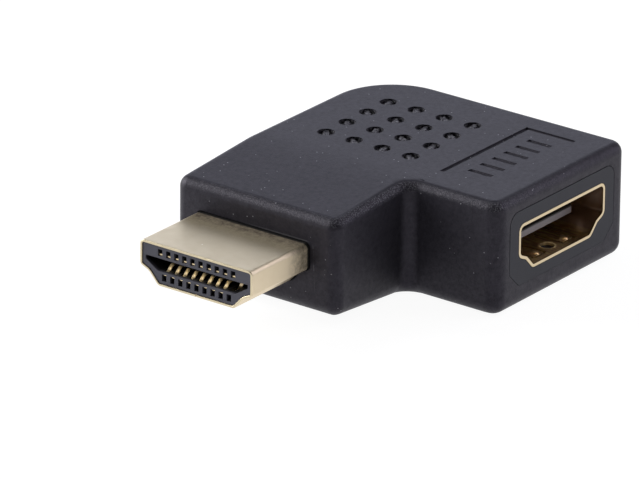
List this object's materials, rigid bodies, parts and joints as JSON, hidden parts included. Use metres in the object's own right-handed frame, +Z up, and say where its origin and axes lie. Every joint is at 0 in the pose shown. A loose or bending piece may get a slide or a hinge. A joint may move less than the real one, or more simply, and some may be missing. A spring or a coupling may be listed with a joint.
{
  "type": "right-angle video plug adapter",
  "caption": "Flat L-shaped moulded adapter that turns a video plug through a right angle to a socket of the same kind.",
  "frame": {"origin": "where the plug axis and the socket axis cross, seen from above, on the plane of the flat base", "axes": "+X out of the socket's opening, -Y along the plug towards its mouth, +Z up out of the top face with the dimples"},
  "size_m": [0.0311, 0.0431, 0.0121],
  "materials": {
    "housing_pvc": "fine-grained black PVC",
    "inner_mould_plastic": "satin black polyethylene",
    "board_laminate": "green solder mask",
    "plug_gold": "satin pale gold plating",
    "insulator_plastic": "slate grey moulded plastic",
    "socket_gold": "satin gold plating",
    "tongue_plastic": "grey moulded plastic",
    "contact_gold": "bright gold plating"
  },
  "bodies": {
    "root": {"housing": "housing_pvc", "inner_mould": "inner_mould_plastic", "circuit_board": "board_laminate", "plug_shell": "plug_gold", "plug_insulator": "insulator_plastic", "socket_shell": "socket_gold", "socket_insulator": "tongue_plastic", "plug_contact_01": "contact_gold", "plug_contact_02": "contact_gold", "plug_contact_03": "contact_gold", "plug_contact_04": "contact_gold", "plug_contact_05": "contact_gold", "plug_contact_06": "contact_gold", "plug_contact_07": "contact_gold", "plug_contact_08": "contact_gold", "plug_contact_09": "contact_gold", "plug_contact_10": "contact_gold", "plug_contact_11": "contact_gold", "plug_contact_12": "contact_gold", "plug_contact_13": "contact_gold", "plug_contact_14": "contact_gold", "plug_contact_15": "contact_gold", "plug_contact_16": "contact_gold", "plug_contact_17": "contact_gold", "plug_contact_18": "contact_gold", "plug_contact_19": "contact_gold", "socket_contact_01": "contact_gold", "socket_contact_02": "contact_gold", "socket_contact_03": "contact_gold", "socket_contact_04": "contact_gold", "socket_contact_05": "contact_gold", "socket_contact_06": "contact_gold", "socket_contact_07": "contact_gold", "socket_contact_08": "contact_gold", "socket_contact_09": "contact_gold", "socket_contact_10": "contact_gold", "socket_contact_11": "contact_gold", "socket_contact_12": "contact_gold", "socket_contact_13": "contact_gold", "socket_contact_14": "contact_gold", "socket_contact_15": "contact_gold", "socket_contact_16": "contact_gold", "socket_contact_17": "contact_gold", "socket_contact_18": "contact_gold", "socket_contact_19": "contact_gold"}
  },
  "joints": []
}
